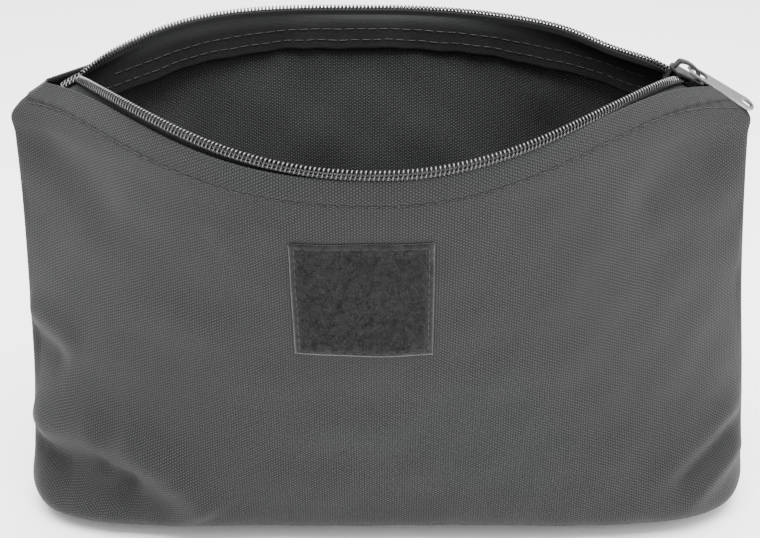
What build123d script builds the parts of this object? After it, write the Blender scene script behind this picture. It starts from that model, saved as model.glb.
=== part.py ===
from build123d import *
import os
from math import cos, hypot, pi, radians, sin, sqrt

# Cash deposit bag: a soft pouch of coated oxford cloth, standing open, with a coil
# zipper round its mouth. Millimetres. +X runs along the zipper to the slider's end,
# -Y is the front, +Z is up, and the origin is the middle of the base on the ground.

# ---- cloth shell: one row for each height, from the ground to above the mouth ----
# (height, half width, half depth, fullness p, fullness q) of the plan outline
SHELL_ROWS = [
    (0.0, 144.0, 31.0, 4.0, 0.60),
    (3.0, 150.0, 35.5, 4.0, 0.60),
    (10.0, 153.5, 40.0, 3.8, 0.62),
    (25.0, 152.5, 44.5, 3.2, 0.70),
    (55.0, 149.0, 50.5, 2.6, 0.85),
    (105.0, 144.0, 60.0, 2.2, 1.05),
    (150.0, 141.5, 69.0, 2.05, 1.30),
    (170.0, 141.0, 73.0, 2.0, 1.45),
    (178.0, 136.0, 74.5, 2.0, 1.40),
    (186.0, 127.0, 75.0, 2.0, 1.33),
    (208.0, 127.0, 75.0, 2.0, 1.33),
]
BLUNT_SHARE = 0.05          # part of the depth that stays at the rounded side fold
BLUNT_POWER = 30
OUTLINE_STEPS = 9           # points of a plan outline from its middle to its end
CLOTH = 0.8                 # cloth with its coating and lining
SEAM_GAP = 0.05             # half of the gap between the two cloth panels
SIDE_WALL = 1.0             # cloth measured along X at the side fold

# ---- mouth ----
MOUTH_Z = 190.0             # zipper height at the middle of the bag
MOUTH_TILT = 0.0805         # rise of the mouth towards the back, per mm of Y
MOUTH_HALF = 127.0
FOLD_BELOW = 2.2            # the hem's fold lies this far under the coil
FOLD_HUMP = 6.0
FOLD_END_DROP = 3.0
CUTTER_REACH = 100.0        # the mouth's cutter runs past the shell on every side
CUTTER_MARGIN = 40.0
CUTTER_STEPS = 14

# ---- zipper, size 5 nylon coil ----
CHAIN_RISE = 20.6           # rise and fall of the chain along the mouth
CHAIN_FALL = 28.9
CHAIN_FALL_POWER = 5.5
CHAIN_MEET_X = 113.2        # the two coils lie side by side from here to the end
CHAIN_SPREAD = 73.0
CHAIN_FULLNESS = 1.15
CHAIN_HALF = 1.75           # middle of one coil from the closed chain's middle
CHAIN_END_X = 121.0
COIL_WIDTH = 3.3
COIL_THICK = 2.2
COIL_ABOVE_TAPE = 1.4       # middle of the coil above the middle of the tape
COIL_IN_FROM_EDGE = 0.7
COIL_FOOT_ROOM = 0.2
LEG_IN = 0.9                # the coil's sewn legs from its middle
CORD_RADIUS = 0.5
CORD_ROOM = 0.6
TAPE_THICK = 0.5
TAPE_DROP = 11.5            # tape hanging below the hem's fold, inside
TAPE_GAP = 0.45
TAPE_BEND_BELOW = 0.6
TWIST_START_X = 108.0       # the tape lies flat outside this and stands up inside
TWIST_LENGTH = 60.0
TWIST_DEG = 78.0
STATIONS = 12               # sections from the middle of the zipper to its end

# ---- stitching: each row is one running thread ----
THREAD = 0.5
THREAD_GAP = 0.3
TOPSTITCH_BELOW = 9.5
TOPSTITCH_HALF = 125.0
TAPE_SEAM_BELOW = 5.0
TAPE_SEAM_HALF = 104.0

# ---- seam allowances and their binding, inside the bag ----
SEAM_WIDTH = 9.0
BINDING_WIDTH = 10.0
ALLOWANCE = 0.4
ALLOWANCE_TRIM = 1.0        # the base's allowances are this much narrower
BINDING_HALF = 0.95
BINDING_INNER_HALF = 0.55
BINDING_EDGE = 5.0          # binding tape's outer edge from the side fold
SIDE_SEAM_HEIGHTS = (16.0, 25.0, 55.0, 105.0, 150.0, 162.0)
BOTTOM_SEAM_HALF = 138.0
BINDING_ROOM = 0.1          # gap between a binding's fold and the edges inside it
BINDING_END = 1.0           # the base's binding stops short of its seam
BINDING_ABOVE_CLOTH = 0.2
SEAM_THREAD_GAP = 0.02
SEAM_THREAD_END = 4.0

# ---- loop patch ----
PATCH_SIDE = 50.8
PATCH_X = -6.2
PATCH_Z = 130.5
PATCH_THICK = 1.6
PATCH_GAP = 0.05
PATCH_SEAM_INSET = 2.2
PATCH_STEPS = 6

# ---- slider, in its own frame: x to its tail, z up, origin in the tape's middle ----
SLIDER_X = 113.6
SLIDER_TILT = 28.0
SLIDER_LENGTH = 14.4
NOSE_HALF = 5.6
NOSE_CURVE = 2.4            # length of the rounded nose
TAIL_HALF = 4.5
TAIL_CORNER = 1.0
SLIDER_LOWER = 0.25         # set below the middle of the arched tape
FLOOR_LOW = -1.9
FLOOR_HIGH = -1.05
ROOF_LOW = 3.1
ROOF_HIGH = 4.0
PLATE_ROUND = 0.3
FLANGE_START_X = 0.9
FLANGE_END_X = 6.2
FLANGE_INNER = 3.75
FLANGE_LOW = 0.8
POST_HALF = 1.05
POST_LENGTH = 3.0
POST_SET_BACK = 0.3
POST_TIP = 1.0
CROWN_HALF = 1.5
CROWN_LENGTH = 12.4
CROWN_HEIGHT = 4.0
CROWN_THICK = 0.95
CROWN_TOP_X = -1.2
CROWN_NOSE_LEAN = 0.7       # how far the crown's ends lean in as they rise
CROWN_TAIL_LEAN = 2.4
CROWN_NOSE_DROP = 0.8       # height lost from the crown's top to where its ends begin
CROWN_TAIL_DROP = 1.3
CROWN_GAP = 0.02

# ---- pull tab, in its own frame: x away from the crossbar ----
TAB_PIVOT_X = 0.4
TAB_PIVOT_Z = 5.9
TAB_TILT = 3.2
TAB_ROLL = 15.0             # the loose tab leans over to the front
TAB_LENGTH = 29.8
TAB_START_HALF = 2.9
TAB_END_HALF = 3.6
TAB_THICK = 1.1
TAB_ROUND = 0.25
TAB_BAR_RADIUS = 0.75
TAB_BAR_LENGTH = 4.8
TAB_WINDOW_START = -1.0
TAB_WINDOW_HALF = 1.85
TAB_WINDOW_STRAIGHT = 6.0
TAB_WINDOW_END = 7.6
EYE_HOLE_LONG = 5.5
EYE_HOLE_SHORT = 3.5

FRONT = -1
BACK = 1


# ---------------------------------------------------------------- shape formulae

def outline_depth(ratio, p, q):
    """Share of the half depth at a share of the half width."""
    full = max(0.0, 1.0 - ratio**p) ** q
    blunt = sqrt(max(0.0, 1.0 - ratio**BLUNT_POWER))
    return (1.0 - BLUNT_SHARE) * full + BLUNT_SHARE * blunt


def shell_at(z):
    """Half width, half depth and fullness of the shell at a height."""
    for low, high in zip(SHELL_ROWS, SHELL_ROWS[1:]):
        if z <= high[0]:
            t = (z - low[0]) / (high[0] - low[0])
            return [a + t * (b - a) for a, b in zip(low[1:], high[1:])]
    return list(SHELL_ROWS[-1][1:])


def wall_y(x, z):
    """Distance of the cloth's outer face from the middle plane."""
    half_width, half_depth, p, q = shell_at(z)
    ratio = min(1.0, abs(x) / half_width)
    return half_depth * outline_depth(ratio, p, q)


def inner_wall_y(x, z):
    """Distance of the cloth's inner face from the middle plane."""
    half_width, half_depth, p, q = shell_at(z)
    ratio = min(1.0, abs(x) / (half_width - SIDE_WALL))
    return (half_depth - CLOTH) * outline_depth(ratio, p, q)


def fold_z(x, y):
    """Height of the hem's fold."""
    r = min(1.0, abs(x) / MOUTH_HALF)
    hump = FOLD_HUMP * sin(pi * r * r) - FOLD_END_DROP * r**10
    return MOUTH_Z - FOLD_BELOW + hump + MOUTH_TILT * y


def fold_point(x, side):
    """Y and Z of the hem's fold, on the cloth's outer face."""
    y = side * wall_y(x, MOUTH_Z)
    return y, fold_z(x, y)


def twist(x):
    """Angle of the tape from flat, in radians."""
    t = min(1.0, max(0.0, (TWIST_START_X - abs(x)) / TWIST_LENGTH))
    return radians(TWIST_DEG) * t * t * (3.0 - 2.0 * t)


def coil_centre(x, side):
    """Y and Z of the middle of one coil."""
    spread = max(0.0, 1.0 - (x / CHAIN_MEET_X) ** 2) ** CHAIN_FULLNESS
    y = side * (CHAIN_HALF + CHAIN_SPREAD * spread)
    r = abs(x) / MOUTH_HALF
    z = MOUTH_Z + CHAIN_RISE * r * r - CHAIN_FALL * r**CHAIN_FALL_POWER + MOUTH_TILT * y
    return y, z


def coil_frame(x, side):
    """Direction of the coil's heads, and of the face that the coil is sewn to."""
    a = twist(x)
    heads = (-side * cos(a), sin(a))
    face = (side * sin(a), cos(a))
    return heads, face


def shifted(point, *moves):
    """A (y, z) point moved by pairs of direction and distance."""
    y, z = point
    for direction, distance in moves:
        y += direction[0] * distance
        z += direction[1] * distance
    return y, z


def zipper_stations():
    """X of the zipper's sections, closer together towards its ends."""
    return [CHAIN_END_X * sin(pi / 2 * k / STATIONS) for k in range(-STATIONS, STATIONS + 1)]


# ---------------------------------------------------------------- building helpers

def ring_wire(z, half_width, half_depth, p, q, inner_width, inner_depth):
    """Thin crescent outline of the front wall at one height."""
    shares = [sin(pi / 2 * k / OUTLINE_STEPS) for k in range(-OUTLINE_STEPS, OUTLINE_STEPS + 1)]
    outer = []
    inner = []
    for share in shares:
        depth = outline_depth(abs(share), p, q)
        outer.append((share * half_width, -SEAM_GAP - depth * half_depth, z))
        inner.append((share * inner_width, -SEAM_GAP - depth * inner_depth, z))
    edges = [
        Edge.make_spline([Vector(*point) for point in outer]),
        Edge.make_line(outer[-1], inner[-1]),
        Edge.make_spline([Vector(*point) for point in reversed(inner)]),
        Edge.make_line(inner[0], outer[0]),
    ]
    return Wire(edges)


def wall_solid(out, inside):
    """The front wall from the ground up, grown outwards by out and inwards by inside."""
    wires = []
    for z, half_width, half_depth, p, q in SHELL_ROWS:
        side_in = inside / CLOTH * SIDE_WALL
        wires.append(
            ring_wire(z, half_width + out, half_depth + out, p, q,
                      half_width - side_in, half_depth - inside)
        )
    return Solid.make_loft(wires, ruled=True)


def strip(profile, stations):
    """A long thin solid through one closed polygon at each station along X."""
    wires = []
    for x in stations:
        points = [Vector(x, y, z) for y, z in profile(x)]
        wires.append(Wire.make_polygon(points, close=True))
    return Solid.make_loft(wires)


def thread_section(y, z):
    """Square section of a thread that runs along X."""
    h = THREAD / 2
    return [(y - h, z - h), (y + h, z - h), (y + h, z + h), (y - h, z + h)]


def thread_on_wall(side, stations, z_at, offset):
    """A running thread beside the cloth, at the height that z_at gives for each X."""
    def profile(x):
        z = z_at(x)
        return thread_section(side * (SEAM_GAP + wall_y(x, z) + offset), z)
    return strip(profile, stations)


def upright_thread(side, x, middle_z, half, offset):
    """A running thread that goes up the cloth at one X."""
    h = THREAD / 2
    wires = []
    for z in (middle_z - half, middle_z, middle_z + half):
        y = side * (SEAM_GAP + wall_y(x, z) + offset)
        corners = [(x - h, y - h, z), (x + h, y - h, z), (x + h, y + h, z), (x - h, y + h, z)]
        wires.append(Wire.make_polygon([Vector(*corner) for corner in corners], close=True))
    return Solid.make_loft(wires)


def mouth_thread(side, below, half, inside=False):
    """A row of stitching that follows the mouth at a distance below its fold."""
    out = THREAD_GAP + THREAD / 2
    offset = -CLOTH - out if inside else out
    stations = [half * sin(pi / 2 * k / STATIONS) for k in range(-STATIONS, STATIONS + 1)]
    return thread_on_wall(side, stations, lambda x: fold_point(x, side)[1] - below, offset)


def box(low, high):
    """A box between two corners."""
    size = [b - a for a, b in zip(low, high)]
    centre = [(a + b) / 2 for a, b in zip(low, high)]
    return Pos(*centre) * Box(*size)


# ---------------------------------------------------------------- cloth

def mouth_cutter():
    """Everything above the fold: the fold's outline carried along the mouth's slope."""
    reach = CUTTER_REACH
    count = CUTTER_STEPS
    edge = []
    for k in range(-count, count + 1):
        x = MOUTH_HALF * k / count
        edge.append(Vector(x, -reach, fold_z(x, -reach)))
    end_z = edge[0].Z
    far = MOUTH_HALF + CUTTER_MARGIN
    top = MOUTH_Z + 2 * CUTTER_MARGIN
    outline = Wire([
        Edge.make_spline(edge),
        Edge.make_line(edge[-1], (far, -reach, end_z)),
        Edge.make_line((far, -reach, end_z), (far, -reach, top)),
        Edge.make_line((far, -reach, top), (-far, -reach, top)),
        Edge.make_line((-far, -reach, top), (-far, -reach, end_z)),
        Edge.make_line((-far, -reach, end_z), edge[0]),
    ])
    return Solid.extrude(Face(outline), Vector(0, 2 * reach, 2 * reach * MOUTH_TILT))


def floor_plate():
    """The front panel's half of the base."""
    _, half_width, half_depth, p, q = SHELL_ROWS[0]
    shares = [sin(pi / 2 * k / OUTLINE_STEPS) for k in range(-OUTLINE_STEPS, OUTLINE_STEPS + 1)]
    points = [
        Vector(share * half_width, -SEAM_GAP - half_depth * outline_depth(abs(share), p, q), 0)
        for share in shares
    ]
    outline = Wire([Edge.make_spline(points), Edge.make_line(points[-1], points[0])])
    return Solid.extrude(Face(outline), Vector(0, 0, CLOTH))


def seam_allowances():
    """The front panel's turned-in edges at both sides and along the base."""
    inner_y = -SEAM_GAP - ALLOWANCE
    plates = [side_plate(side, SIDE_WALL / 2, SEAM_WIDTH, inner_y, -SEAM_GAP) for side in (-1, 1)]
    low = (-BOTTOM_SEAM_HALF, inner_y, CLOTH / 2)
    high = (BOTTOM_SEAM_HALF, -SEAM_GAP, SEAM_WIDTH - ALLOWANCE_TRIM)
    plates.append(box(low, high))
    return plates


def cloth_panel(side):
    """Front or back panel: wall, half of the base and turned-in seam edges."""
    shell = wall_solid(0.0, CLOTH) + floor_plate()
    for plate in seam_allowances():
        shell = shell + plate
    if side == BACK:
        shell = mirror(shell, about=Plane.XZ)
    return shell - mouth_cutter()


def loop_patch():
    """Square of loop tape that hugs the front panel."""
    sheet = wall_solid(PATCH_THICK, -PATCH_GAP)
    half = PATCH_SIDE / 2
    low = (PATCH_X - half, -CUTTER_REACH, PATCH_Z - half)
    high = (PATCH_X + half, 0.0, PATCH_Z + half)
    return sheet & box(low, high)


def patch_stitching():
    """Four rows of stitching just inside the patch's edges."""
    half = PATCH_SIDE / 2 - PATCH_SEAM_INSET
    offset = PATCH_THICK + THREAD_GAP + THREAD / 2
    steps = range(-PATCH_STEPS, PATCH_STEPS + 1)
    stations = [PATCH_X + half * k / PATCH_STEPS for k in steps]
    rows = []
    for z in (PATCH_Z - half, PATCH_Z + half):
        rows.append(thread_on_wall(FRONT, stations, lambda x, z=z: z, offset))
    for x in (PATCH_X - half, PATCH_X + half):
        rows.append(upright_thread(FRONT, x, PATCH_Z, half - 2 * THREAD, offset))
    return rows


# ---------------------------------------------------------------- seams

def side_plate(side, outer_inset, inner_inset, y_low, y_high):
    """A flat strip that follows one side of the bag, between two distances from its fold."""
    outer = [Vector(side * (shell_at(z)[0] - outer_inset), y_low, z) for z in SIDE_SEAM_HEIGHTS]
    inner = [Vector(side * (shell_at(z)[0] - inner_inset), y_low, z) for z in SIDE_SEAM_HEIGHTS]
    face = Face(Wire.make_polygon(outer + inner[::-1], close=True))
    return Solid.extrude(face, Vector(0, y_high - y_low, 0))


def side_binding(side):
    """Binding tape folded round one side's seam allowances."""
    outside = side_plate(side, BINDING_EDGE, BINDING_WIDTH, -BINDING_HALF, BINDING_HALF)
    reach = SEAM_WIDTH + BINDING_ROOM
    return outside - side_plate(side, 0.0, reach, -BINDING_INNER_HALF, BINDING_INNER_HALF)


def bottom_binding():
    """Binding tape folded over the base's seam allowances."""
    half = BOTTOM_SEAM_HALF - BINDING_END
    low = (-half, -BINDING_HALF, CLOTH + BINDING_ABOVE_CLOTH)
    high = (half, BINDING_HALF, BINDING_WIDTH - ALLOWANCE_TRIM)
    slot_top = SEAM_WIDTH - ALLOWANCE_TRIM + BINDING_ROOM
    slot = box((-half, -BINDING_INNER_HALF, 0), (half, BINDING_INNER_HALF, slot_top))
    return box(low, high) - slot


def side_seam(side):
    """The needle thread and bobbin thread of one side seam, one on each face of its binding."""
    middle = (BINDING_EDGE + BINDING_WIDTH) / 2
    rows = []
    for face in (-1, 1):
        near = face * (BINDING_HALF + SEAM_THREAD_GAP)
        far = face * (BINDING_HALF + THREAD)
        low, high = min(near, far), max(near, far)
        rows.append(side_plate(side, middle - THREAD / 2, middle + THREAD / 2, low, high))
    return rows


def bottom_seam():
    """The two threads of the base's seam, one on each face of its binding."""
    half = BOTTOM_SEAM_HALF - SEAM_THREAD_END
    middle = SEAM_WIDTH / 2
    rows = []
    for face in (-1, 1):
        near = face * (BINDING_HALF + SEAM_THREAD_GAP)
        far = face * (BINDING_HALF + THREAD)
        low, high = min(near, far), max(near, far)
        rows.append(box((-half, low, middle - THREAD / 2), (half, high, middle + THREAD / 2)))
    return rows


# ---------------------------------------------------------------- zipper chain

def tape_line(x, side):
    """The tape's edge under the coil, the coil's foot, the bend at the hem, and the lower edge."""
    heads, face = coil_frame(x, side)
    edge = shifted(coil_centre(x, side), (heads, COIL_IN_FROM_EDGE), (face, -COIL_ABOVE_TAPE))
    foot = shifted(edge, (heads, -COIL_IN_FROM_EDGE - COIL_WIDTH / 2 - COIL_FOOT_ROOM))
    z_bend = min(fold_point(x, side)[1] - TAPE_BEND_BELOW, edge[1])
    z_low = z_bend - TAPE_DROP
    inset = TAPE_GAP + TAPE_THICK / 2
    bend_y = inner_wall_y(x, z_bend) - inset
    low_y = min(bend_y, inner_wall_y(x, z_low) - inset)
    return edge, foot, (side * bend_y, z_bend), (side * low_y, z_low)


def tape_profile(side):
    """Closed section of the tape: its bent line with a thickness."""
    half = TAPE_THICK / 2

    def profile(x):
        line = tape_line(x, side)
        upper = []
        lower = []
        for k, point in enumerate(line):
            before = line[max(0, k - 1)]
            after = line[min(len(line) - 1, k + 1)]
            run_y = after[0] - before[0]
            run_z = after[1] - before[1]
            length = hypot(run_y, run_z)
            normal = (-side * run_z / length, side * run_y / length)
            upper.append(shifted(point, (normal, half)))
            lower.append(shifted(point, (normal, -half)))
        return upper + lower[::-1]
    return profile


def coil_strip(side, half_width, half_thick, sides, along_heads=0.0, along_face=0.0):
    """A strip with an oval many-sided section, at a fixed place in the coil's own frame."""
    def profile(x):
        heads, face = coil_frame(x, side)
        place = shifted(coil_centre(x, side), (heads, along_heads), (face, along_face))
        turns = [2 * pi * (k + 0.5) / sides for k in range(sides)]
        return [shifted(place, (heads, half_width * cos(t)), (face, half_thick * sin(t))) for t in turns]
    return strip(profile, zipper_stations())


def coil(side):
    """Envelope of one nylon coil, hollow for its filler cord."""
    outer = coil_strip(side, COIL_WIDTH / 2, COIL_THICK / 2, 8)
    return outer - coil_strip(side, CORD_ROOM, CORD_ROOM, 4)


def coil_cord(side):
    """The filler cord that runs through one coil."""
    return coil_strip(side, CORD_RADIUS, CORD_RADIUS, 4)


def coil_thread(side):
    """The row of thread that sews the coil's legs down to the tape."""
    lift = COIL_THICK / 2 + THREAD / 2 + SEAM_THREAD_GAP
    return coil_strip(side, THREAD / 2, THREAD / 2, 4, along_heads=-LEG_IN, along_face=lift)


# ---------------------------------------------------------------- slider and tab

def slider_origin():
    """Place of the slider's own frame: the middle of the tape under it."""
    z = coil_centre(SLIDER_X, FRONT)[1] - MOUTH_TILT * coil_centre(SLIDER_X, FRONT)[0]
    return SLIDER_X, 0.0, z - COIL_ABOVE_TAPE - SLIDER_LOWER


def in_place(solid):
    """A solid drawn in the slider's own frame, carried to the slider's place."""
    return Pos(*slider_origin()) * Rot(0, SLIDER_TILT, 0) * solid


def line(start, end):
    """A straight edge between two points."""
    return Edge.make_line(start, end)


def slider_plate(low, high, rounded):
    """Top or bottom wing of the slider: a broad rounded nose and a narrower tail."""
    half = SLIDER_LENGTH / 2
    shoulder = NOSE_CURVE - half
    side = [
        (half, TAIL_HALF - TAIL_CORNER, low),
        (half - TAIL_CORNER, TAIL_HALF, low),
        (FLANGE_START_X, TAIL_HALF, low),
        (shoulder, NOSE_HALF, low),
    ]
    other = [(x, -y, z) for x, y, z in reversed(side)]
    edges = [line(a, b) for a, b in zip(side, side[1:])]
    edges.append(Edge.make_three_point_arc(side[-1], (-half, 0, low), other[0]))
    edges += [line(a, b) for a, b in zip(other, other[1:])]
    edges.append(line(other[-1], side[0]))
    plate = Solid.extrude(Face(Wire(edges)), Vector(0, 0, high - low))
    return fillet(plate.edges().group_by(Axis.Z)[rounded], PLATE_ROUND)


def slider_post():
    """Wedge that parts the two coils and joins the slider's wings."""
    nose = -SLIDER_LENGTH / 2 + POST_SET_BACK
    points = [
        (nose, 0),
        (nose + POST_TIP, -POST_HALF),
        (nose + POST_LENGTH, 0),
        (nose + POST_TIP, POST_HALF),
    ]
    middle = (FLOOR_LOW + FLOOR_HIGH) / 2
    face = Face(Wire.make_polygon([Vector(x, y, middle) for x, y in points], close=True))
    return Solid.extrude(face, Vector(0, 0, (ROOF_LOW + ROOF_HIGH) / 2 - middle))


def slider_body():
    """Die-cast body: two wings, the post between them and the side flanges."""
    body = slider_plate(FLOOR_LOW, FLOOR_HIGH, 0) + slider_plate(ROOF_LOW, ROOF_HIGH, -1) + slider_post()
    for side in (-1, 1):
        low = (FLANGE_START_X, min(side * FLANGE_INNER, side * TAIL_HALF), FLANGE_LOW)
        high = (FLANGE_END_X, max(side * FLANGE_INNER, side * TAIL_HALF), (ROOF_LOW + ROOF_HIGH) / 2)
        body = body + box(low, high)
    return in_place(body)


def crown_outline(inset):
    """Side face of the crown's arch, shrunk by an inset but open to the roof."""
    base = ROOF_HIGH + CROWN_GAP
    nose = inset - CROWN_LENGTH / 2
    tail = CROWN_LENGTH / 2 - inset
    top = base + CROWN_HEIGHT - inset
    points = [
        (nose, 0, base),
        (nose + CROWN_NOSE_LEAN, 0, top - CROWN_NOSE_DROP),
        (tail - CROWN_TAIL_LEAN, 0, top - CROWN_TAIL_DROP),
        (tail, 0, base),
    ]
    return Face(Wire([
        line(points[0], points[1]),
        Edge.make_three_point_arc(points[1], (CROWN_TOP_X, 0, top), points[2]),
        line(points[2], points[3]),
        line(points[3], points[0]),
    ]))


def slider_crown():
    """Arched bridge over the top wing, which holds the tab's crossbar."""
    thick = Vector(0, 2 * CROWN_HALF, 0)
    bridge = Solid.extrude(crown_outline(0.0), thick) - Solid.extrude(crown_outline(CROWN_THICK), thick)
    return in_place(Pos(0, -CROWN_HALF, 0) * bridge)


def tab_plate():
    """The tab's tapering outline with its rounded end."""
    low = -TAB_THICK / 2
    neck = TAB_LENGTH - TAB_END_HALF
    start = (0, TAB_START_HALF, low)
    shoulder = (neck, TAB_END_HALF, low)
    other_shoulder = (neck, -TAB_END_HALF, low)
    other_start = (0, -TAB_START_HALF, low)
    outline = Wire([
        line(start, shoulder),
        Edge.make_three_point_arc(shoulder, (TAB_LENGTH, 0, low), other_shoulder),
        line(other_shoulder, other_start),
        line(other_start, start),
    ])
    plate = Solid.extrude(Face(outline), Vector(0, 0, TAB_THICK))
    rims = plate.edges().group_by(Axis.Z)
    return fillet(rims[0] + rims[-1], TAB_ROUND)


def tab_window():
    """The opening between the tab's arms, which swings over the crown."""
    low = -TAB_THICK
    corner = (TAB_WINDOW_STRAIGHT, TAB_WINDOW_HALF, low)
    other_corner = (TAB_WINDOW_STRAIGHT, -TAB_WINDOW_HALF, low)
    start = (TAB_WINDOW_START, TAB_WINDOW_HALF, low)
    other_start = (TAB_WINDOW_START, -TAB_WINDOW_HALF, low)
    outline = Wire([
        line(start, corner),
        Edge.make_three_point_arc(corner, (TAB_WINDOW_END, 0, low), other_corner),
        line(other_corner, other_start),
        line(other_start, start),
    ])
    return Solid.extrude(Face(outline), Vector(0, 0, 2 * TAB_THICK))


def pull_tab():
    """Flat tab with two arms, a crossbar through the crown and an eyelet."""
    eye = Pos(TAB_LENGTH - TAB_END_HALF, 0, -TAB_THICK) * extrude(
        Ellipse(EYE_HOLE_LONG / 2, EYE_HOLE_SHORT / 2), 2 * TAB_THICK
    )
    bar = Rot(90, 0, 0) * Cylinder(TAB_BAR_RADIUS, TAB_BAR_LENGTH)
    tab = Rot(TAB_ROLL, 0, 0) * (tab_plate() - tab_window() - eye) + bar
    return in_place(Pos(TAB_PIVOT_X, 0, TAB_PIVOT_Z) * Rot(0, TAB_TILT, 0) * tab)


# ---------------------------------------------------------------- all pieces

def pieces():
    """Every piece by name."""
    made = {
        "front_panel": cloth_panel(FRONT),
        "back_panel": cloth_panel(BACK),
        "loop_patch": loop_patch(),
        "patch_stitching": patch_stitching(),
        "left_seam_binding": side_binding(-1),
        "right_seam_binding": side_binding(1),
        "bottom_seam_binding": bottom_binding(),
        "left_side_seam": side_seam(-1),
        "right_side_seam": side_seam(1),
        "bottom_seam": bottom_seam(),
        "slider_body": slider_body(),
        "slider_crown": slider_crown(),
        "pull_tab": pull_tab(),
    }
    for name, side in (("front", FRONT), ("back", BACK)):
        made[name + "_zipper_tape"] = strip(tape_profile(side), zipper_stations())
        made[name + "_coil"] = coil(side)
        made[name + "_coil_cord"] = coil_cord(side)
        made[name + "_coil_thread"] = coil_thread(side)
        made[name + "_topstitch"] = mouth_thread(side, TOPSTITCH_BELOW, TOPSTITCH_HALF)
        made[name + "_tape_seam"] = mouth_thread(side, TAPE_SEAM_BELOW, TAPE_SEAM_HALF)
    return made


os.makedirs("parts", exist_ok=True)
for node, shape in pieces().items():
    if isinstance(shape, list):
        shape = Compound(children=shape)
    export_step(shape, "parts/" + node + ".step")
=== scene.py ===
import bpy
import math
import numpy as np
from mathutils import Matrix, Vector


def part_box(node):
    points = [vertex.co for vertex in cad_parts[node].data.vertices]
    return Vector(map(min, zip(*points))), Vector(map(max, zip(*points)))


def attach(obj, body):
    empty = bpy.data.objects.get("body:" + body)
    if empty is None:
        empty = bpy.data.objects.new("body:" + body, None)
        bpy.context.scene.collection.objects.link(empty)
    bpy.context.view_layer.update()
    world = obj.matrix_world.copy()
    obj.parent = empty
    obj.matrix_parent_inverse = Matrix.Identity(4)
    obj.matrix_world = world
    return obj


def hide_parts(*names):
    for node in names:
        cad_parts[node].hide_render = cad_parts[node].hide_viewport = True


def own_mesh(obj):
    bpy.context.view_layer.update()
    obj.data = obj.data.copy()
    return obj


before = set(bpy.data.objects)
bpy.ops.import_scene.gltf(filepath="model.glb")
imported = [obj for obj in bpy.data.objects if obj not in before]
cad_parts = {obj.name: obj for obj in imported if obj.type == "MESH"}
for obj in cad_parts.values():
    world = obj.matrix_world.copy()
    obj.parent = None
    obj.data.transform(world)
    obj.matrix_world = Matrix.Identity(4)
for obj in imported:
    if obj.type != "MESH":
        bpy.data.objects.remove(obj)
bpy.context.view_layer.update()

# All shapes below are worked out in millimetres and become metres when a mesh is made.
MM = 0.001
FRONT, BACK = -1, 1

panel_low, panel_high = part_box("front_panel")
BAG_HALF = (panel_high[0] - panel_low[0]) / 2 / MM
MOUTH_DEPTH = -panel_low[1] / MM

# ---- the shell's plan outline at each height -------------------------------------
# (height, half width left and right, half depth, fullness p and q left, p and q right)
SHELL_ROWS = np.array([
    (0.0, 134.0, 140.0, 18.0, 6.0, 0.50, 5.0, 0.55),
    (2.0, 141.5, 147.0, 25.0, 7.0, 0.46, 6.0, 0.52),
    (5.5, 147.0, 153.0, 33.0, 8.0, 0.43, 7.0, 0.50),
    (11.0, 150.0, 156.0, 39.5, 6.5, 0.49, 6.0, 0.52),
    (25.0, 149.0, 155.5, 44.5, 4.0, 0.62, 4.0, 0.62),
    (55.0, 146.0, 153.0, 50.5, 2.6, 0.85, 2.6, 0.85),
    (105.0, 142.8, 147.0, 60.0, 2.3, 1.05, 2.2, 1.05),
    (150.0, 140.8, 143.0, 69.0, 2.45, 1.40, 2.05, 1.30),
    (168.0, 140.6, 141.8, 73.0, 2.6, 1.55, 2.0, 1.45),
    (175.5, 140.7, 141.5, 74.3, 2.7, 1.60, 2.0, 1.42),
    (178.0, 138.6, 139.6, 74.6, 2.8, 1.62, 2.0, 1.40),
    (186.0, 127.0, 127.0, 75.0, 2.8, 1.65, 2.0, 1.33),
])
SHELL_ROWS[:, 1:3] *= BAG_HALF / 153.5
SHELL_ROWS[:, 3] *= MOUTH_DEPTH / 75.0
BLUNT_SHARE, BLUNT_POWER = 0.05, 30
LEVEL_ROWS_END = 150.0      # rows above this height follow the mouth's curve
MOUTH_HALF = 127.0
MOUTH_Z, MOUTH_TILT = 190.0, 0.0805
BACK_DROP, BACK_DROP_BY = 2.0, 30.0     # the back rim hangs this much under the mouth's slope
FOLD_BELOW, FOLD_LEFT_HUMP = 2.2, 3.5
FOLD_RIGHT_HUMP = {FRONT: 6.6, BACK: 3.2}
FOLD_LEFT_END, FOLD_RIGHT_END = 1.0, -0.6      # rise of the fold at the mouth's two ends

# ---- zipper ----------------------------------------------------------------------
CHAIN_RISE, CHAIN_FALL, CHAIN_FALL_POWER = 20.6, 28.9, 5.5
CHAIN_MEET_X, CHAIN_SPREAD, CHAIN_HALF = 113.2, 73.0, 1.75
LEFT_FULLNESS = (2.4, 0.95)
RIGHT_FULLNESS = {FRONT: (2.0, 1.02), BACK: (2.0, 1.17)}
CHAIN_DIP, CHAIN_DIP_X, CHAIN_DIP_WIDTH = {FRONT: 0.4, BACK: 2.2}, 92.0, 14.0
CHAIN_END_X = 121.0
COIL_PITCH, COIL_WIDTH, COIL_THICK, COIL_WIRE = 1.56, 3.0, 1.75, 0.36
TWIST_START_X, TWIST_LENGTH, TWIST = 116.0, 15.0, math.radians(78.0)

CLOTH = 0.5
HEM_ROLL = 0.6
HEM_WIDTH = 9.5
STITCH_PITCH = 4.75


def smooth(t):
    """A soft step from 0 to 1."""
    t = np.clip(t, 0.0, 1.0)
    return t * t * (3.0 - 2.0 * t)


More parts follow.
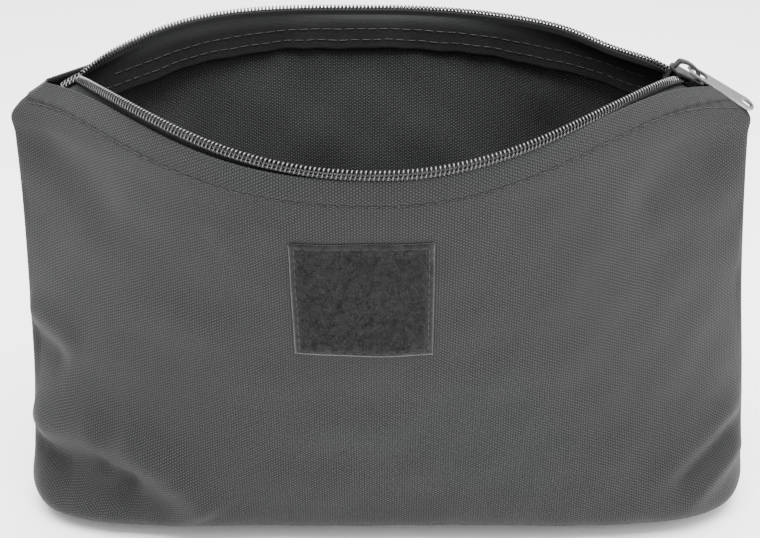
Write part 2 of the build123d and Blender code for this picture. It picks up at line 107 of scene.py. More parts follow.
def outline(share, p, q):
    """Depth of the plan outline, as a share of the half depth."""
    full = np.clip(1.0 - share**p, 0.0, 1.0) ** q
    blunt = np.sqrt(np.clip(1.0 - share**BLUNT_POWER, 0.0, 1.0))
    return (1.0 - BLUNT_SHARE) * full + BLUNT_SHARE * blunt


def row_knots():
    """Where each shell row lies along the wall, from 0 at the ground to 1 at the fold."""
    run = np.hypot(np.diff(SHELL_ROWS[:, 0]), np.diff(SHELL_ROWS[:, 3]))
    reach = np.concatenate([[0.0], np.cumsum(run)])
    return reach / reach[-1]


KNOTS = row_knots()
SLOPES = np.gradient(SHELL_ROWS, KNOTS, axis=0)


def share_at_height(z):
    """Share of the wall that lies at a height."""
    return np.interp(z, SHELL_ROWS[:, 0], KNOTS)


def shell_values(s):
    """Shell row values at a share of the wall, on a smooth curve through the rows."""
    s = np.clip(np.asarray(s, float), 0.0, 1.0)
    k = np.clip(np.searchsorted(KNOTS, s) - 1, 0, len(KNOTS) - 2)
    span = KNOTS[k + 1] - KNOTS[k]
    t = ((s - KNOTS[k]) / span)[..., None]
    span = span[..., None]
    a, b = SHELL_ROWS[k], SHELL_ROWS[k + 1]
    ma, mb = SLOPES[k] * span, SLOPES[k + 1] * span
    h = t * t * (3 - 2 * t)
    return a * (1 - h) + b * h + ma * t * (1 - t) ** 2 - mb * t * t * (1 - t)


def rim_rise(y):
    """Rise of the mouth's rim over its middle, for a distance to the back."""
    return MOUTH_TILT * y - BACK_DROP * smooth(y / BACK_DROP_BY)


def fold_z(x, y):
    """Height of the hem's fold."""
    r = np.clip(np.abs(x) / MOUTH_HALF, 0.0, 1.0)
    end = np.where(x < 0, FOLD_LEFT_END, FOLD_RIGHT_END)
    right_hump = np.where(y < 0, FOLD_RIGHT_HUMP[FRONT], FOLD_RIGHT_HUMP[BACK])
    hump = np.where(x < 0, FOLD_LEFT_HUMP, right_hump) * np.sin(math.pi * r * r) + end * r**8
    return MOUTH_Z - FOLD_BELOW + hump + rim_rise(y)


def wall(side, u, s):
    """Points of the cloth's outer face, before its creases, for shares u across and s up."""
    u, s = np.broadcast_arrays(np.asarray(u, float), np.asarray(s, float))
    values = shell_values(s)
    z, left, right, depth, p_left, q_left, p_right, q_right = np.moveaxis(values, -1, 0)
    share = np.abs(u)
    x = u * np.where(u < 0, left, right)
    p = np.where(u < 0, p_left, p_right)
    q = np.where(u < 0, q_left, q_right)
    y = side * depth * outline(share, p, q)
    top_row = SHELL_ROWS[-1]
    top_p = np.where(u < 0, top_row[4], top_row[6])
    top_q = np.where(u < 0, top_row[5], top_row[7])
    top = fold_z(u * MOUTH_HALF, side * top_row[3] * outline(share, top_p, top_q))
    rise = (z - LEVEL_ROWS_END) / (SHELL_ROWS[-1, 0] - LEVEL_ROWS_END)
    z = np.where(rise > 0, LEVEL_ROWS_END + rise * (top - LEVEL_ROWS_END), z)
    return np.stack([x, y, z], -1)


# ---------------------------------------------------------------- creases and sag

RIPPLE_SEED = {FRONT: 7, BACK: 19}
RIPPLE_WAVES, RIPPLE_LENGTHS, RIPPLE_HEIGHT = 9, (22.0, 75.0), 0.16
# Creases and ripples fade out at the side folds, under the hem and at the ground.
SIDE_FADE, HEM_FADE_FROM, HEM_FADE, GROUND_FADE = 0.025, 6.0, 22.0, 14.0
HEM_STEP, HEM_STEP_WIDTH = 0.45, 1.6
STITCH_DIP, STITCH_DIP_WIDTH = 0.45, 0.7
PUCKER_HEIGHT, PUCKER_WIDTH = 0.16, 2.2
SEAM_DIP, SEAM_DIP_WIDTH = 0.5, 0.004
NORMAL_STEP, NORMAL_END = 1e-3, 0.9985

# A crease runs from one point (x, z) to another: (x1, z1, x2, z2, height, width).
CREASE_STRENGTH = 2.3
CREASE_END_FADE, CREASE_END_LEVEL = 0.35, 0.3
FRONT_CREASES = [
    (-149.0, 30.0, -112.0, 36.0, -1.7, 6.0),
    (-118.0, 36.0, -98.0, 30.0, -1.2, 5.0),
    (-143.0, 24.0, -97.0, 22.0, -2.6, 10.0),
    (-147.0, 42.0, -108.0, 51.0, 2.0, 9.0),
    (-108.0, 50.0, -80.0, 35.0, 1.9, 10.0),
    (-82.0, 36.0, -69.0, 17.0, 1.4, 9.0),
    (-104.0, 34.0, -86.0, 12.0, -0.9, 9.0),
    (-147.0, 97.0, -120.0, 86.0, 1.1, 8.0),
    (-147.0, 84.0, -126.0, 76.0, -0.9, 8.0),
    (152.0, 53.0, 111.0, 30.0, 1.3, 7.0),
    (154.0, 35.0, 125.0, 18.0, 1.2, 6.0),
    (152.0, 44.0, 122.0, 24.0, -1.1, 6.0),
    (-134.0, 168.0, -96.0, 150.0, -0.9, 12.0),
    (132.0, 168.0, 92.0, 148.0, -0.9, 12.0),
    (-60.0, 150.0, -34.0, 166.0, 0.5, 12.0),
]
BACK_CREASES = [
    (-140.0, 40.0, -96.0, 24.0, -2.2, 8.0),
    (-132.0, 22.0, -80.0, 34.0, 1.6, 10.0),
    (146.0, 34.0, 100.0, 22.0, -2.2, 8.0),
    (142.0, 60.0, 96.0, 40.0, 1.6, 10.0),
    (-50.0, 120.0, 30.0, 60.0, 1.4, 22.0),
    (20.0, 150.0, 70.0, 96.0, -1.2, 20.0),
    (-120.0, 160.0, -80.0, 140.0, -1.2, 12.0),
    (118.0, 160.0, 78.0, 140.0, -1.2, 12.0),
]


def crease(x, z, x1, z1, x2, z2, height, width):
    """Height of one crease at points (x, z) of the wall, fading towards the crease's ends."""
    along = np.array([x2 - x1, z2 - z1])
    length = np.hypot(*along)
    along = along / length
    t = (x - x1) * along[0] + (z - z1) * along[1]
    across = (x - x1) * along[1] - (z - z1) * along[0]
    fade = CREASE_END_FADE * length
    ends = smooth(t / fade + CREASE_END_LEVEL) * smooth((length - t) / fade + CREASE_END_LEVEL)
    return height * ends * np.exp(-(across / width) ** 2)


def ripple(x, z, seed):
    """Slow, uneven waves of limp cloth, about a third of a millimetre high."""
    rng = np.random.default_rng(seed)
    total = np.zeros_like(x)
    for _ in range(RIPPLE_WAVES):
        length = rng.uniform(*RIPPLE_LENGTHS)
        turn = rng.uniform(0, math.pi)
        phase = rng.uniform(0, 2 * math.pi)
        total += np.sin((x * math.cos(turn) + z * math.sin(turn)) * 2 * math.pi / length + phase)
    return total * RIPPLE_HEIGHT


def relief(side, u, s, points):
    """How far the cloth stands out of its plain shape: creases, waves, hem and stitch dips."""
    x, z = points[..., 0], points[..., 2]
    total = ripple(x, z, RIPPLE_SEED[side])
    for line in FRONT_CREASES if side == FRONT else BACK_CREASES:
        total = total + CREASE_STRENGTH * crease(x, z, *line)
    below = below_fold(side, u, s)
    from_side = 1.0 - np.abs(u)
    from_row = below - HEM_WIDTH
    total = total * smooth(from_side / SIDE_FADE) * smooth((below - HEM_FADE_FROM) / HEM_FADE)
    total = total * smooth(z / GROUND_FADE)
    hem = HEM_STEP * (1.0 - smooth(from_row / HEM_STEP_WIDTH))
    dip = -STITCH_DIP * np.exp(-(from_row / STITCH_DIP_WIDTH) ** 2)
    wave = PUCKER_HEIGHT * np.cos(2 * math.pi * x / STITCH_PITCH)
    pucker = wave * np.exp(-(from_row / PUCKER_WIDTH) ** 2)
    seam = -SEAM_DIP * np.exp(-(from_side / SEAM_DIP_WIDTH) ** 2)
    return total + hem + dip + pucker + seam


def below_fold(side, u, s):
    """Distance down the cloth from the hem's fold."""
    top = wall(side, u, np.ones_like(s))
    here = wall(side, u, s)
    return np.linalg.norm(top - here, axis=-1)


def unit(v):
    """Vectors of length one."""
    return v / np.maximum(np.linalg.norm(v, axis=-1, keepdims=True), 1e-12)


def wall_normals(side, u, s):
    """Outward normals of the plain wall."""
    step = NORMAL_STEP
    u = np.clip(u, -NORMAL_END, NORMAL_END)
    s = np.clip(s, 0.0, 1.0)
    across = wall(side, u + step, s) - wall(side, u - step, s)
    up = wall(side, u, np.minimum(s + step, 1)) - wall(side, u, np.maximum(s - step, 0))
    return unit(side * np.cross(up, across))


def cloth_face(side, u, s, out=0.0):
    """Points on the finished outer face of the cloth, moved outwards by out."""
    u, s = np.broadcast_arrays(np.asarray(u, float), np.asarray(s, float))
    plain = wall(side, u, s)
    lift = relief(side, u, s, plain) + out
    return plain + wall_normals(side, u, s) * lift[..., None]


# ---------------------------------------------------------------- mesh helpers

def make_object(name, points, faces, cloth=None):
    """A mesh object from points in millimetres. cloth gives each point's place on the flat cloth."""
    mesh = bpy.data.meshes.new(name)
    mesh.from_pydata((np.asarray(points, float) * MM).tolist(), [], [list(face) for face in faces])
    if cloth is not None:
        attribute = mesh.attributes.new("cloth", "FLOAT_VECTOR", "POINT")
        attribute.data.foreach_set("vector", np.asarray(cloth, np.float32).ravel())
    mesh.validate()
    mesh.polygons.foreach_set("use_smooth", [True] * len(mesh.polygons))
    obj = bpy.data.objects.new(name, mesh)
    bpy.context.scene.collection.objects.link(obj)
    return obj


def grid_faces(rows, columns, closed=False):
    """Quads of a grid of points, row by row. closed joins each row's end to its start."""
    across = columns if closed else columns - 1
    r, c = np.meshgrid(np.arange(rows - 1), np.arange(across), indexing="ij")
    nxt = (c + 1) % columns
    a, b = r * columns + c, r * columns + nxt
    return np.stack([a, b, b + columns, a + columns], -1).reshape(-1, 4)


def flat_coordinates(grid, level_row=0):
    """Distances across and up a grid of points, which a weave is drawn on."""
    across = np.zeros(grid.shape[:2])
    across[:, 1:] = np.cumsum(np.linalg.norm(np.diff(grid, axis=1), axis=-1), axis=1)
    across -= across[:, grid.shape[1] // 2][:, None]
    up = np.zeros(grid.shape[:2])
    up[1:] = np.cumsum(np.linalg.norm(np.diff(grid, axis=0), axis=-1), axis=0)
    up -= up[level_row]
    return np.stack([across, up, np.zeros_like(up)], -1).reshape(-1, 3)


def solidify(obj, thickness, offset):
    """Gives a surface a thickness: inwards from its face at offset -1, on both sides at 0."""
    modifier = obj.modifiers.new("thickness", "SOLIDIFY")
    modifier.thickness = thickness * MM
    modifier.offset = offset
    modifier.use_even_offset = False
    apply_modifiers(obj)


def apply_modifiers(obj):
    """Turns the object's modifiers into plain mesh."""
    graph = bpy.context.evaluated_depsgraph_get()
    mesh = bpy.data.meshes.new_from_object(obj.evaluated_get(graph))
    obj.modifiers.clear()
    obj.data = mesh


def sheet_object(name, grid, thickness, offset=-1.0, cloth=None):
    """A sheet of cloth from a grid of points, with a thickness."""
    rows, columns = grid.shape[:2]
    cloth = flat_coordinates(grid) if cloth is None else cloth
    obj = make_object(name, grid.reshape(-1, 3), grid_faces(rows, columns), cloth)
    solidify(obj, thickness, offset)
    return obj


def tube_parts(line, radius, sides, up):
    """Points and faces of a closed tube along a line; radius may change along it."""
    line = np.asarray(line, float)
    count = len(line)
    radius = np.broadcast_to(radius, (count,))
    tangent = unit(np.gradient(line, axis=0))
    guide = np.broadcast_to(np.asarray(up, float), line.shape)
    rise = unit(guide - tangent * (guide * tangent).sum(-1, keepdims=True))
    across = np.cross(tangent, rise)
    turn = (2 * math.pi * np.arange(sides) / sides)[None, :, None]
    ring = rise[:, None] * np.cos(turn) + across[:, None] * np.sin(turn)
    rings = line[:, None] + radius[:, None, None] * ring
    faces = grid_faces(count, sides, closed=True).tolist()
    faces.append(list(range(sides))[::-1])
    faces.append([(count - 1) * sides + k for k in range(sides)])
    return rings.reshape(-1, 3), faces


def join_parts(parts):
    """Points and faces of several parts as one list of points and one of faces."""
    points, faces, base = [], [], 0
    for p, f in parts:
        points.append(p)
        faces += [[i + base for i in face] for face in f]
        base += len(p)
    return np.concatenate(points), faces


def path_of(points):
    """Cumulative length along a line of points."""
    return np.concatenate([[0.0], np.cumsum(np.linalg.norm(np.diff(points, axis=0), axis=1))])


def at_length(points, reach, length):
    """Points at given lengths along a line, whose own points lie at the lengths in reach."""
    return np.stack([np.interp(length, reach, points[:, k]) for k in range(points.shape[1])], -1)


STITCH_POINTS, THREAD_SIDES = 8, 6
STITCH_SINK, STITCH_TAPER = 0.12, 0.45      # depth of a stitch's ends, and how far they thin


def stitches(name, line, normals, pitch=STITCH_PITCH, share=0.86, radius=0.2, lift=0.2):
    """A row of lock stitches lying on a line of surface points, each diving in at its ends."""
    reach = path_of(line)
    count = int(reach[-1] / pitch)
    parts = []
    t = np.linspace(0.0, 1.0, STITCH_POINTS)
    arch = lift * np.sin(math.pi * t) ** 0.5 - STITCH_SINK
    fat = radius * (1 - STITCH_TAPER + STITCH_TAPER * np.sin(math.pi * t) ** 0.6)
    for k in range(count):
        length = (k + 0.5 + (t - 0.5) * share) * reach[-1] / count
        centre = at_length(line, reach, length)
        out = unit(at_length(normals, reach, length))
        parts.append(tube_parts(centre + out * arch[:, None], fat, THREAD_SIDES, out))
    return make_object(name, *join_parts(parts))


# ---------------------------------------------------------------- camera and light

CAMERA_PLACE = (0.0, -0.50497, 0.37774)
CAMERA_DOWN = math.radians(28.0)
CAMERA_LENS, CAMERA_SENSOR = 67.07, 36.0
CAMERA_CLIP = (0.01, 20.0)
FLOOR_HALF, FLOOR_PAINT, FLOOR_ROUGHNESS = 3.0, 0.96, 0.9
SKY_STRENGTH = 1.3
# (name, place, target, size, power in watts)
LIGHTS = [
    ("key", (0.0, -0.3, 1.35), (0, 0, 0.1), (1.3, 0.9), 75.0),
    ("fill", (0.9, -0.6, 0.7), (0, 0, 0.1), (0.8, 0.8), 8.0),
    ("back", (0.0, 0.55, 1.1), (0, 0, 0.12), (1.0, 0.5), 12.0),
]


def make_camera():
    """At the photograph's angle, looking down at the front."""
    ahead = Vector((0.0, math.cos(CAMERA_DOWN), -math.sin(CAMERA_DOWN)))
    data = bpy.data.cameras.new("camera")
    camera = bpy.data.objects.new("camera", data)
    bpy.context.scene.collection.objects.link(camera)
    camera.location = CAMERA_PLACE
    camera.rotation_mode = "QUATERNION"
    camera.rotation_quaternion = ahead.to_track_quat("-Z", "Y")
    data.lens = CAMERA_LENS
    data.sensor_width = CAMERA_SENSOR
    data.clip_start, data.clip_end = CAMERA_CLIP
    bpy.context.scene.camera = camera


def make_light(name, place, target, size, power):
    """A rectangular lamp aimed at a target."""
    data = bpy.data.lights.new(name, "AREA")
    data.shape = "RECTANGLE"
    data.size, data.size_y = size
    data.energy = power
    lamp = bpy.data.objects.new(name, data)
    bpy.context.scene.collection.objects.link(lamp)
    lamp.location = place
    lamp.rotation_mode = "QUATERNION"
    lamp.rotation_quaternion = (Vector(target) - Vector(place)).to_track_quat("-Z", "Y")


def make_studio():
    """A plain pale floor, an even white sky and three soft lamps."""
    mesh = bpy.data.meshes.new("floor")
    half = FLOOR_HALF
    mesh.from_pydata([(-half, -half, 0), (half, -half, 0), (half, half, 0), (-half, half, 0)],
                     [], [(0, 1, 2, 3)])
    floor = bpy.data.objects.new("floor", mesh)
    bpy.context.scene.collection.objects.link(floor)
    paint = bpy.data.materials.new("floor_paint")
    paint.use_nodes = True
    shader = paint.node_tree.nodes["Principled BSDF"]
    shader.inputs["Base Color"].default_value = (FLOOR_PAINT, FLOOR_PAINT, FLOOR_PAINT, 1)
    shader.inputs["Roughness"].default_value = FLOOR_ROUGHNESS
    floor.data.materials.append(paint)
    world = bpy.data.worlds.new("studio")
    world.use_nodes = True
    sky = world.node_tree.nodes["Background"]
    sky.inputs["Color"].default_value = (1.0, 1.0, 1.0, 1)
    sky.inputs["Strength"].default_value = SKY_STRENGTH
    bpy.context.scene.world = world
    for light in LIGHTS:
        make_light(*light)


# ---------------------------------------------------------------- materials

class Nodes:
    """Small helper to write a material's node tree."""

    def __init__(self, name):
        self.material = bpy.data.materials.new(name)
        self.material.use_nodes = True
        self.tree = self.material.node_tree
        self.shader = self.tree.nodes["Principled BSDF"]

    def add(self, kind, **settings):
        node = self.tree.nodes.new(kind)
        for key, value in settings.items():
            setattr(node, key, value)
        return node

    def feed(self, socket, value):
        if isinstance(value, bpy.types.NodeSocket):
            self.tree.links.new(value, socket)
        else:
            socket.default_value = value

    def math(self, operation, a, b=0.0, c=None, clamp=False):
        node = self.add("ShaderNodeMath", operation=operation, use_clamp=clamp)
        self.feed(node.inputs[0], a)
        self.feed(node.inputs[1], b)
        if c is not None:
            self.feed(node.inputs[2], c)
        return node.outputs[0]

    def mix(self, factor, a, b):
        node = self.add("ShaderNodeMix", data_type="RGBA")
        self.feed(node.inputs["Factor"], factor)
        self.feed(node.inputs[6], a)
        self.feed(node.inputs[7], b)
        return node.outputs[2]

    def noise(self, vector, scale, detail=2.0, roughness=0.5):
        node = self.add("ShaderNodeTexNoise")
        self.feed(node.inputs["Vector"], vector)
        node.inputs["Scale"].default_value = scale
        node.inputs["Detail"].default_value = detail
        node.inputs["Roughness"].default_value = roughness
        return node.outputs["Fac"]

    def ramp(self, value, low, high):
        node = self.add("ShaderNodeMapRange", clamp=True)
        self.feed(node.inputs["Value"], value)
        node.inputs["From Min"].default_value = low
        node.inputs["From Max"].default_value = high
        return node.outputs["Result"]

    def place(self):
        return self.add("ShaderNodeTexCoord").outputs["Object"]

    def cloth(self):
        node = self.add("ShaderNodeAttribute", attribute_name="cloth")
        return node.outputs["Vector"]

    def split(self, vector):
        node = self.add("ShaderNodeSeparateXYZ")
        self.feed(node.inputs[0], vector)
        return node.outputs

    def bump(self, height, distance, strength=1.0, normal=None):
        node = self.add("ShaderNodeBump")
        self.feed(node.inputs["Height"], height)
        node.inputs["Distance"].default_value = distance
        node.inputs["Strength"].default_value = strength
        if normal is not None:
            self.feed(node.inputs["Normal"], normal)
        return node.outputs["Normal"]

    def finish(self, colour, normal=None, roughness=0.7, **plain):
        self.feed(self.shader.inputs["Base Color"], colour)
        self.feed(self.shader.inputs["Roughness"], roughness)
        if normal is not None:
            self.feed(self.shader.inputs["Normal"], normal)
        for key, value in plain.items():
            self.shader.inputs[key.replace("_", " ")].default_value = value
        return self.material


def grey(value, warm=-0.03):
    """A grey colour; warm shifts it towards red, and below zero towards blue."""
    return (value * (1 + warm), value, value * (1 - warm * 0.3), 1.0)


def weave_height(n, a, b):
    """Plain weave: crowns of warp and weft yarns, over and under in turn."""
    wave_a = n.math("SINE", n.math("MULTIPLY", a, math.pi))
    wave_b = n.math("SINE", n.math("MULTIPLY", b, math.pi))
    checker = n.math("MULTIPLY", wave_a, wave_b)
    over = n.math("MULTIPLY_ADD", checker, 1.4, 0.5, clamp=True)
    crown_a = n.math("POWER", n.math("ABSOLUTE", wave_a), 0.8)
    crown_b = n.math("POWER", n.math("ABSOLUTE", wave_b), 0.8)
    under = n.math("SUBTRACT", 1.0, over)
    warp = n.math("MULTIPLY", n.math("MULTIPLY", crown_a, crown_b), over)
    low = n.math("MULTIPLY", under, 0.35)
    weft = n.math("MULTIPLY", n.math("MULTIPLY", crown_b, crown_a), low)
    return n.math("ADD", warp, weft)


YARN_UP = 0.65              # distances between ribs and yarns, in millimetres
TAPE_RIB, TAPE_CROSS_RIB, BINDING_RIB = 0.75, 0.55, 0.9
THREAD_PLY = 0.0005         # metres


def oxford_cloth():
    """Coated oxford: yarns 1 mm apart across and closer together up, with painted highlights on their
    crowns, painted shade between them and painted shade along the stitched groove.
    """
    n = Nodes("oxford_cloth")
    spot = n.place()
    a, b, groove = n.split(n.cloth())
    drift = n.noise(spot, scale=120.0, detail=3.0)
    a = n.math("MULTIPLY_ADD", drift, 0.45, a)
    b = n.math("DIVIDE", b, YARN_UP)
    b = n.math("MULTIPLY_ADD", n.noise(spot, scale=170.0, detail=2.0), 0.5, b)
    height = weave_height(n, a, b)
    grain = n.noise(spot, scale=2600.0, detail=2.0)
    tone = n.noise(spot, scale=22.0, detail=4.0, roughness=0.6)
    # painted highlight on the yarns' crowns and painted shade in the gaps between them
    yarn = n.math("MULTIPLY", height, n.math("MULTIPLY_ADD", grain, 0.9, 0.45))
    colour = n.mix(yarn, grey(0.002), grey(0.045))
    colour = n.mix(n.math("MULTIPLY", n.ramp(tone, low=0.35, high=0.75), 0.18), colour, grey(0.012))
    # painted shade along the stitched groove under the topstitch
    colour = n.mix(n.math("MULTIPLY", groove, 0.55), colour, grey(0.004))
    rough = n.math("MULTIPLY_ADD", yarn, -0.15, 0.78)
    fine = n.bump(grain, distance=0.00005, strength=0.5)
    normal = n.bump(height, distance=0.00022, strength=0.9, normal=fine)
    return n.finish(colour, normal, rough, Specular_IOR_Level=0.16,
                    Sheen_Weight=0.05, Sheen_Roughness=0.5)


def zipper_tape_cloth():
    """Fine twill tape with slanting ribs and a few pale fibres."""
    n = Nodes("zipper_tape")
    spot = n.place()
    a, b, _ = n.split(n.cloth())
    slant = n.math("MULTIPLY_ADD", b, 0.8, a)
    rib = n.math("SINE", n.math("MULTIPLY", slant, 2 * math.pi / TAPE_RIB))
    cross = n.math("SINE", n.math("MULTIPLY", b, 2 * math.pi / TAPE_CROSS_RIB))
    height = n.math("MULTIPLY_ADD", cross, 0.35, rib)
    lint = n.ramp(n.noise(spot, scale=700.0, detail=6.0, roughness=0.75), low=0.58, high=0.74)
    colour = n.mix(n.ramp(height, low=-1.0, high=1.2), grey(0.002), grey(0.018))
    colour = n.mix(n.math("MULTIPLY", lint, 0.3), colour, grey(0.07))
    # painted light: the tape is paler within 5 to 8 mm of its edge, over the coil's foot and the bend,
    # where it faces up
    painted_edge_light = n.ramp(b, low=8.0, high=5.0)
    colour = n.mix(n.math("MULTIPLY", painted_edge_light, 0.2), colour, grey(0.06))
    normal = n.bump(height, distance=0.0001, strength=0.9)
    return n.finish(colour, normal, 0.85, Specular_IOR_Level=0.12)


def thread_material():
    """Twisted thread, with its plies slanting across it."""
    n = Nodes("thread")
    spot = n.place()
    x, _, z = n.split(spot)
    ply = n.math("SINE", n.math("MULTIPLY", n.math("ADD", x, z), 2 * math.pi / THREAD_PLY))
    colour = n.mix(n.ramp(ply, low=-1.0, high=1.0), grey(0.003), grey(0.014))
    normal = n.bump(ply, distance=0.00004, strength=0.8)
    return n.finish(colour, normal, 0.5, Specular_IOR_Level=0.5)


def binding_material():
    """Grosgrain binding tape with ribs across it."""
    n = Nodes("binding_tape")
    spot = n.place()
    a, _, _ = n.split(n.cloth())
    rib = n.math("SINE", n.math("MULTIPLY", a, 2 * math.pi / BINDING_RIB))
    colour = n.mix(n.ramp(rib, low=-1.0, high=1.0), grey(0.009), grey(0.026))
    colour = n.mix(n.math("MULTIPLY", n.noise(spot, scale=300.0, detail=3.0), 0.3), colour, grey(0.07))
    normal = n.bump(rib, distance=0.00008, strength=0.8)
    return n.finish(colour, normal, 0.8, Specular_IOR_Level=0.25)


def loop_pile_material():
    """Matted nylon loops: dark clumps with paler fibres."""
    n = Nodes("loop_pile")
    spot = n.place()
    clump = n.noise(spot, scale=420.0, detail=4.0, roughness=0.65)
    fine = n.noise(spot, scale=2200.0, detail=3.0, roughness=0.7)
    colour = n.mix(n.ramp(clump, low=0.3, high=0.72), grey(0.002), grey(0.019))
    colour = n.mix(n.math("MULTIPLY", n.ramp(fine, low=0.5, high=0.8), 0.45), colour, grey(0.04))
    fibres = n.bump(fine, distance=0.0001, strength=0.7)
    normal = n.bump(clump, distance=0.0004, strength=0.6, normal=fibres)
    return n.finish(colour, normal, 0.95, Specular_IOR_Level=0.12,
                    Sheen_Weight=0.25, Sheen_Roughness=0.4)


def nylon_material():
    """Glossy black nylon wire."""
    n = Nodes("nylon_coil")
    spot = n.place()
    colour = n.mix(n.noise(spot, scale=500.0, detail=2.0), grey(0.003), grey(0.011))
    rough = n.math("MULTIPLY_ADD", n.noise(spot, scale=900.0, detail=2.0), 0.16, 0.14)
    return n.finish(colour, None, rough, Specular_IOR_Level=0.8, Coat_Weight=0.6, Coat_Roughness=0.12)


def metal_material(name, dark, light, rough):
    """Satin plated die casting: fine orange peel, worn paler where it rubs."""
    n = Nodes(name)
    spot = n.place()
    peel = n.noise(spot, scale=1800.0, detail=3.0)
    wear = n.ramp(n.noise(spot, scale=900.0, detail=4.0, roughness=0.6), low=0.35, high=0.85)
    colour = n.mix(wear, grey(dark, 0.02), grey(light, 0.01))
    normal = n.bump(peel, distance=0.00003, strength=0.5)
    return n.finish(colour, normal, n.math("MULTIPLY_ADD", peel, 0.2, rough), Metallic=0.85)


# ---------------------------------------------------------------- cloth panels

PANEL_COLUMNS = 250
WALL_ROWS, RIM_ROWS = 105, 46
RIM_SHARE = 0.92            # rows lie closer together above this share of the wall
FLOOR_ROWS = 12
FLOOR_CLEAR, BASE_SEAM_RISE = 0.1, 0.9      # the base is just off the ground, more at its seam
HEM_TURN_ROWS = 5
HEM_ROWS, HEM_ROW_SHARE, HEM_GAP = 6, 0.0062, 0.15
# width of the painted shade along the stitched groove
GROOVE_SHADE_WIDTH = 0.75


def end_crowded(count):
    """Shares from -1 to 1 that lie closer together towards the ends."""
    return np.sin(np.linspace(-math.pi / 2, math.pi / 2, count + 1))


def panel_grid(side):
    """Rows of points from the base's seam, up the wall, over the fold and down the hem inside."""
    u = end_crowded(PANEL_COLUMNS)
    base = wall(side, u, np.zeros_like(u))
    rows = []
    for k in range(FLOOR_ROWS):
        share = k / FLOOR_ROWS
        row = base.copy()
        row[:, 1] *= share
        row[:, 2] = FLOOR_CLEAR + BASE_SEAM_RISE * (1 - smooth(share * 3.0))
        rows.append(row)
    lower = np.linspace(0.0, RIM_SHARE, WALL_ROWS)[:-1]
    for s in np.concatenate([lower, np.linspace(RIM_SHARE, 1.0, RIM_ROWS)]):
        row = cloth_face(side, u, np.full_like(u, s))
        row[:, 2] = np.maximum(row[:, 2], FLOOR_CLEAR)
        rows.append(row)
    top = rows[-1]
    inward = -wall_normals(side, u, np.ones_like(u))
    inward[:, 2] = 0.0
    inward = unit(inward)
    for turn in np.linspace(0, math.pi, HEM_TURN_ROWS + 1)[1:]:
        row = top + inward * (HEM_ROLL * (1 - math.cos(turn)))
        row[:, 2] += HEM_ROLL * math.sin(turn)
        rows.append(row)
    for k in range(1, HEM_ROWS + 1):
        s = 1.0 - HEM_ROW_SHARE * k
        row = wall(side, u, np.full_like(u, s)) + inward * (2 * HEM_ROLL + HEM_GAP)
        rows.append(row)
    return np.stack(rows)


def cloth_panel(side, name):
    """One panel. The third value of its cloth places is 1 along the stitched groove, where the cloth
    material paints shade.
    """
    grid = panel_grid(side)
    fold_row = FLOOR_ROWS + WALL_ROWS + RIM_ROWS - 2
    cloth = flat_coordinates(grid, fold_row)
    below = np.abs(cloth[:, 1])
    # painted shade mask: 1 along the stitched groove
    cloth[:, 2] = np.exp(-(((below - HEM_WIDTH) / GROOVE_SHADE_WIDTH) ** 2))
    if side == BACK:
        cloth = cloth.reshape(grid.shape)[:, ::-1].reshape(-1, 3)
        grid = grid[:, ::-1]
    return sheet_object(name, grid, CLOTH, cloth=cloth)


# ---------------------------------------------------------------- zipper chain

COIL_STEPS, COIL_SIDES, COIL_HEAD_SWELL = 16, 8, 0.28
STRANDS, STRAND_TURN, STRAND_OFFSET, STRAND_RADIUS = 3, 2.4, 0.22, 0.26
LEG_ROWS = (-1.15, -0.75)
LEG_STITCH_SHARE, LEG_THREAD = 1.05, 0.12


def coil_centre(side, x):
    """Middle of one coil."""
    share = np.abs(x) / CHAIN_MEET_X
    p = np.where(x < 0, LEFT_FULLNESS[0], RIGHT_FULLNESS[side][0])
    q = np.where(x < 0, LEFT_FULLNESS[1], RIGHT_FULLNESS[side][1])
    spread = np.clip(1.0 - share**p, 0.0, 1.0) ** q
    y = side * (CHAIN_HALF + CHAIN_SPREAD * spread)
    r = np.abs(x) / MOUTH_HALF
    dip = CHAIN_DIP[side] * np.exp(-(((x - CHAIN_DIP_X) / CHAIN_DIP_WIDTH) ** 2))
    z = MOUTH_Z + CHAIN_RISE * r * r - CHAIN_FALL * r**CHAIN_FALL_POWER - dip + rim_rise(y)
    return np.stack([x, y, z], -1)


def coil_frame(side, x):
    """Direction of the coil's heads and of the tape face that it is sewn to."""
    a = TWIST * smooth((TWIST_START_X - np.abs(x)) / TWIST_LENGTH)
    zero = np.zeros_like(a)
    heads = np.stack([zero, -side * np.cos(a), np.sin(a)], -1)
    face = np.stack([zero, side * np.sin(a), np.cos(a)], -1)
    return heads, face


def chain_line(side, count=600):
    """The coil's centre line, with its frame square to the line."""
    x = CHAIN_END_X * end_crowded(count)
    centre = coil_centre(side, x)
    heads, face = coil_frame(side, x)
    tangent = unit(np.gradient(centre, axis=0))
    heads = unit(heads - tangent * (heads * tangent).sum(-1, keepdims=True))
    face = unit(face - tangent * (face * tangent).sum(-1, keepdims=True))
    face = unit(face - heads * (face * heads).sum(-1, keepdims=True))
    return centre, heads, face, path_of(centre)


def coil(side, name):
    """One nylon coil: an oval helix whose turns have a swollen head."""
    centre, heads, face, reach = chain_line(side)
    turns = int(reach[-1] / COIL_PITCH)
    steps = COIL_STEPS
    k = np.arange(turns * steps + 1)
    phase = 2 * math.pi * (k / steps) + (0.0 if side == FRONT else math.pi)
    length = k / steps * reach[-1] / turns
    c = at_length(centre, reach, length)
    h = unit(at_length(heads, reach, length))
    f = unit(at_length(face, reach, length))
    across = np.cos(phase)
    line = c + h * (COIL_WIDTH / 2 * across)[:, None]
    line = line + f * (side * COIL_THICK / 2 * np.sin(phase))[:, None]
    fat = COIL_WIRE * (1.0 + COIL_HEAD_SWELL * np.clip(across, 0, 1) ** 3)
    points, faces = tube_parts(line, fat, COIL_SIDES, h)
    return make_object(name, points, faces)


